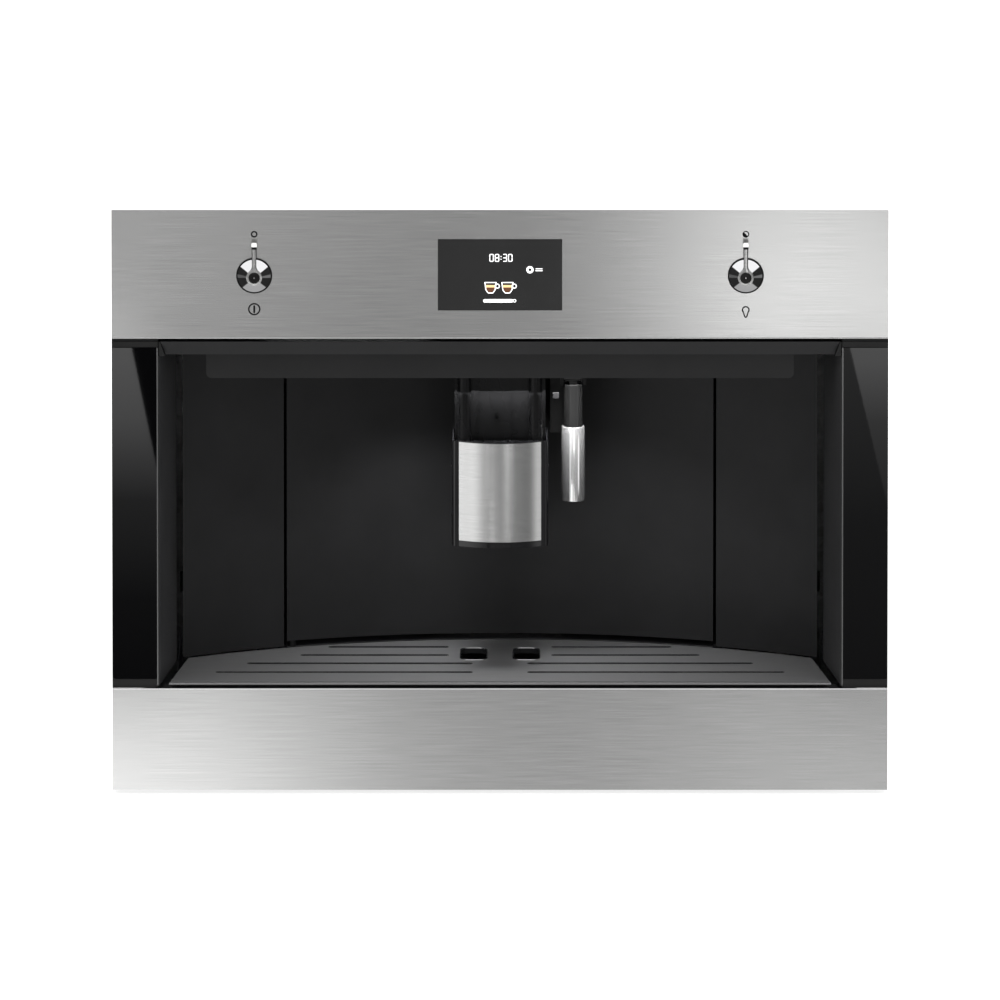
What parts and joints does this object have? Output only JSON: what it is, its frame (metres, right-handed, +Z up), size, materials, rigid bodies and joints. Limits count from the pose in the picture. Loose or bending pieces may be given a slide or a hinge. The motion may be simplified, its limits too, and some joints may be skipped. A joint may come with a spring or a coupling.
{
  "type": "built-in coffee machine",
  "caption": "Built-in coffee machine with a steel front, open black niche, height-adjustable spout, steam wand, drip drawer and a casing that rolls out on rails.",
  "frame": {"origin": "middle of the mounting base's underside, on the cabinet floor", "axes": "+X to the right of a person facing the machine, +Y into the cabinet, +Z up"},
  "size_m": [0.597, 0.3933, 0.458],
  "materials": {
    "brushed_steel": "satin brushed",
    "steel_sheet": "zinc coated",
    "rail_steel": "bright zinc",
    "black_glass": "glossy black",
    "chrome": "polished",
    "black_plastic": "fine matt",
    "gloss_black": "glossy",
    "niche_black": "satin",
    "display": "glossy",
    "clear_plastic": "clear",
    "lamp": "frosted",
    "white_plastic": "matt",
    "board": "coated",
    "boiler_steel": "satin",
    "silicone": "soft"
  },
  "bodies": {
    "cabinet_base": {"mounting_base": "steel_sheet", "outer_rails": "rail_steel"},
    "machine": {"inner_rails": "rail_steel", "chassis_floor": "steel_sheet", "chassis_side_left": "steel_sheet", "chassis_side_right": "steel_sheet", "rear_cover": "steel_sheet", "top_cover": "steel_sheet", "casing_screws": "rail_steel", "front_frame": "black_plastic", "control_fascia": "brushed_steel", "side_glass_left": "black_glass", "side_glass_right": "black_glass", "niche_trims": "chrome", "corner_blocks": "black_plastic", "niche_lip": "niche_black", "niche_wall_left": "niche_black", "niche_wall_right": "niche_black", "rear_panel_left": "niche_black", "rear_panel_right": "niche_black", "niche_ceiling": "niche_black", "soffit": "niche_black", "lamp_lenses": "lamp", "display_glass": "display", "display_module": "black_plastic", "lever_collars": "chrome", "rotary_switches": "black_plastic", "door_hinge_pins": "rail_steel", "service_bay": "black_plastic", "water_tank": "clear_plastic", "water_tank_lid": "black_plastic", "grounds_box": "black_plastic", "brew_unit_frame": "white_plastic", "grinder_body": "black_plastic", "bean_hopper": "clear_plastic", "pump": "white_plastic", "boilers": "boiler_steel", "water_hoses": "silicone", "power_board": "board", "mains_inlet": "black_plastic"},
    "rail_middle": {"middle_rails": "rail_steel"},
    "power_switch": {"power_lever": "chrome", "power_lever_cap": "gloss_black"},
    "light_switch": {"light_lever": "chrome", "light_lever_cap": "gloss_black"},
    "door": {"service_door": "niche_black", "spout_carrier": "gloss_black", "wand_bracket": "black_plastic"},
    "coffee_spout": {"spout_head": "gloss_black", "spout_plate": "brushed_steel", "spout_nozzles": "black_plastic"},
    "wand": {"wand_grip": "gloss_black"},
    "sleeve": {"wand_sleeve": "chrome"},
    "drawer": {"lower_fascia": "brushed_steel", "drip_tray": "black_plastic", "tray_cover": "brushed_steel"},
    "piston": {"brew_piston": "black_plastic"},
    "burr": {"grinder_burr": "boiler_steel"},
    "hopper_lid": {"bean_lid": "black_plastic"},
    "dial": {"grind_dial": "black_plastic"}
  },
  "joints": [
    {"name": "machine_slide", "type": "slide", "parent": "cabinet_base", "child": "machine", "axis": [0, -1, 0], "range_m": [0, 0.28]},
    {"name": "middle_rail_slide", "type": "slide", "parent": "cabinet_base", "child": "rail_middle", "axis": [0, -1, 0], "range_m": [0, 0.14]},
    {"name": "power_lever_turn", "type": "hinge", "parent": "machine", "child": "power_switch", "pos_m": [-0.1888, -0.207, 0.4067], "axis": [0, 1, 0], "range_deg": [0, 180]},
    {"name": "light_lever_turn", "type": "hinge", "parent": "machine", "child": "light_switch", "pos_m": [0.1888, -0.207, 0.4067], "axis": [0, 1, 0], "range_deg": [0, 180]},
    {"name": "door_hinge", "type": "hinge", "parent": "machine", "child": "door", "pos_m": [-0.1612, -0.0603, 0.205], "axis": [0, 0, -1], "range_deg": [0, 85]},
    {"name": "spout_slide", "type": "slide", "parent": "door", "child": "coffee_spout", "axis": [0, 0, 1], "range_m": [-0.015, 0.038]},
    {"name": "wand_swing", "type": "hinge", "parent": "door", "child": "wand", "pos_m": [0.0565, -0.097, 0.308], "axis": [-1, 0, 0], "range_deg": [0, 35]},
    {"name": "sleeve_slide", "type": "slide", "parent": "wand", "child": "sleeve", "axis": [0, 0, 1], "range_m": [0, 0.012]},
    {"name": "drawer_slide", "type": "slide", "parent": "machine", "child": "drawer", "axis": [0, -1, 0], "range_m": [0, 0.185]},
    {"name": "piston_slide", "type": "slide", "parent": "machine", "child": "piston", "axis": [0, 0, -1], "range_m": [0, 0.04]},
    {"name": "burr_spin", "type": "hinge", "parent": "machine", "child": "burr", "pos_m": [0.118, 0.0755, 0.28], "axis": [0, 0, 1], "continuous": true},
    {"name": "hopper_lid_hinge", "type": "hinge", "parent": "machine", "child": "hopper_lid", "pos_m": [0.118, 0.12573, 0.38448], "axis": [-1, 0, 0], "range_deg": [0, 75]},
    {"name": "grind_dial_turn", "type": "hinge", "parent": "machine", "child": "dial", "pos_m": [0.222, 0.0755, 0.39041], "axis": [0, 0.1994, 0.9799], "range_deg": [-135, 135]}
  ],
  "couplings": [
    {"joint": "middle_rail_slide", "follows": "machine_slide", "ratio": 0.5}
  ]
}
